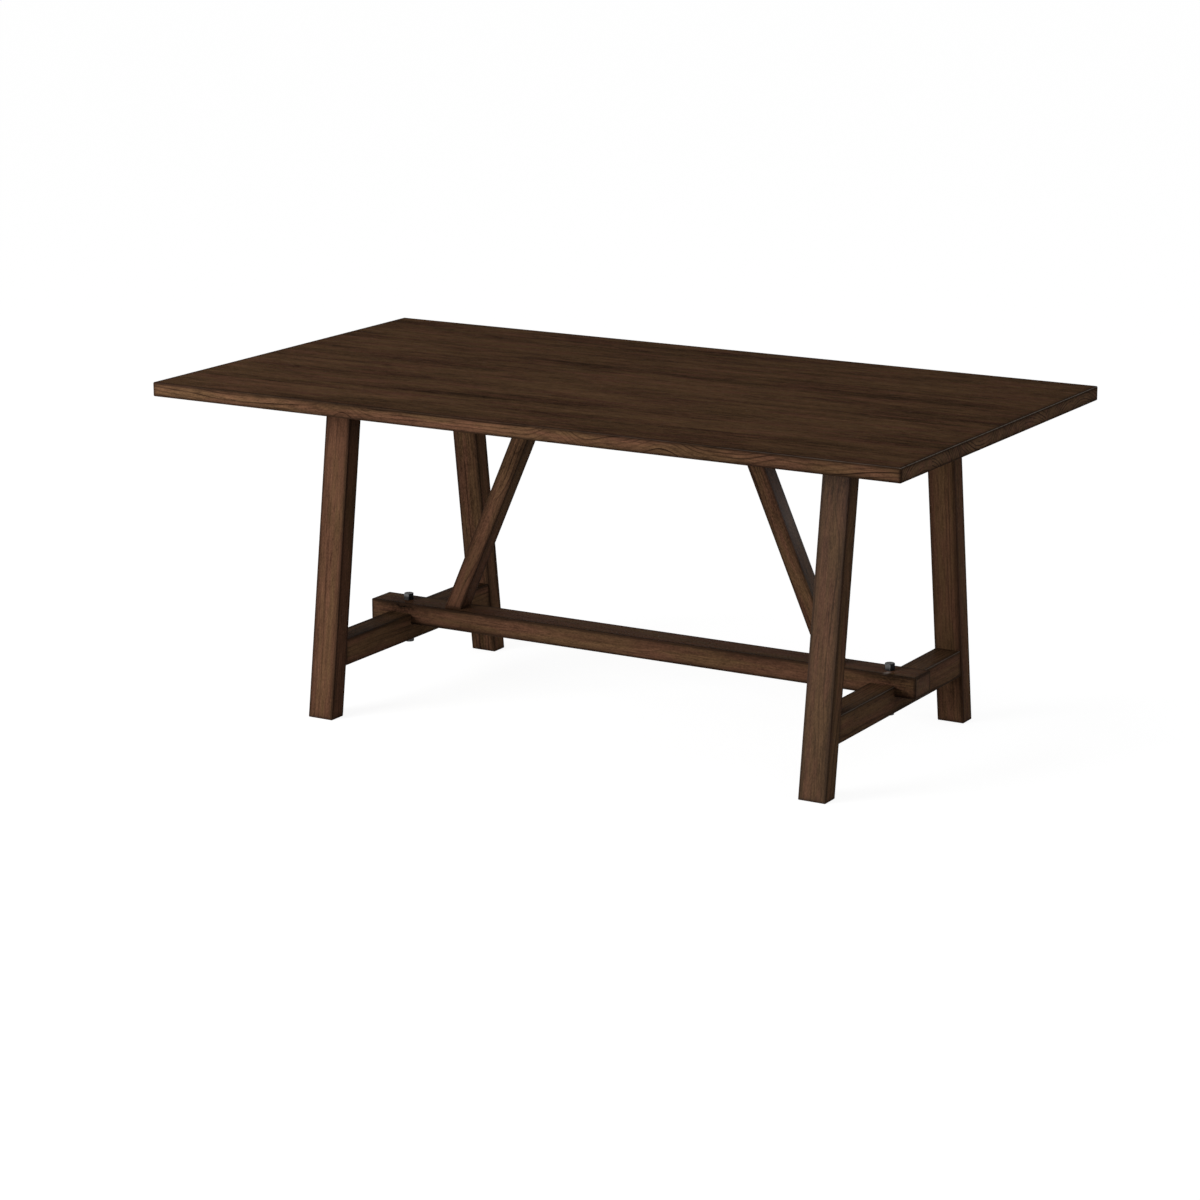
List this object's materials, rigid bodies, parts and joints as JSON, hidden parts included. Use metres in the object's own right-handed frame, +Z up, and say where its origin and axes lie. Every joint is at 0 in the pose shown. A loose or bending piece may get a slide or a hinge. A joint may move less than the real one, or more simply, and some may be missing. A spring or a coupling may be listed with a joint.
{
  "type": "trestle dining table",
  "caption": "Rectangular wooden dining table on two splayed trestles, tied by a low bolted stretcher with braces that lean up to the underside of the top.",
  "frame": {"origin": "on the floor, under the middle of the top", "axes": "+X along the table, +Y across it towards the back, +Z up"},
  "size_m": [1.829, 1.003, 0.76],
  "materials": {
    "top_wood": "satin",
    "base_wood": "satin",
    "dark_steel": "satin",
    "screw_steel": "satin"
  },
  "bodies": {
    "root": {"batten_left": "base_wood", "batten_right": "base_wood", "bearer_left": "base_wood", "bearer_right": "base_wood", "brace_left": "base_wood", "brace_right": "base_wood", "crossing_bolts": "dark_steel", "crossing_nuts": "dark_steel", "crossing_washers": "dark_steel", "leg_back_left": "base_wood", "leg_back_right": "base_wood", "leg_front_left": "base_wood", "leg_front_right": "base_wood", "lower_rail_left": "base_wood", "lower_rail_right": "base_wood", "stretcher": "base_wood", "top_board_1": "top_wood", "top_board_2": "top_wood", "top_board_3": "top_wood", "top_board_4": "top_wood", "top_board_5": "top_wood", "top_board_6": "top_wood", "top_board_7": "top_wood", "top_screws": "screw_steel"}
  },
  "joints": []
}
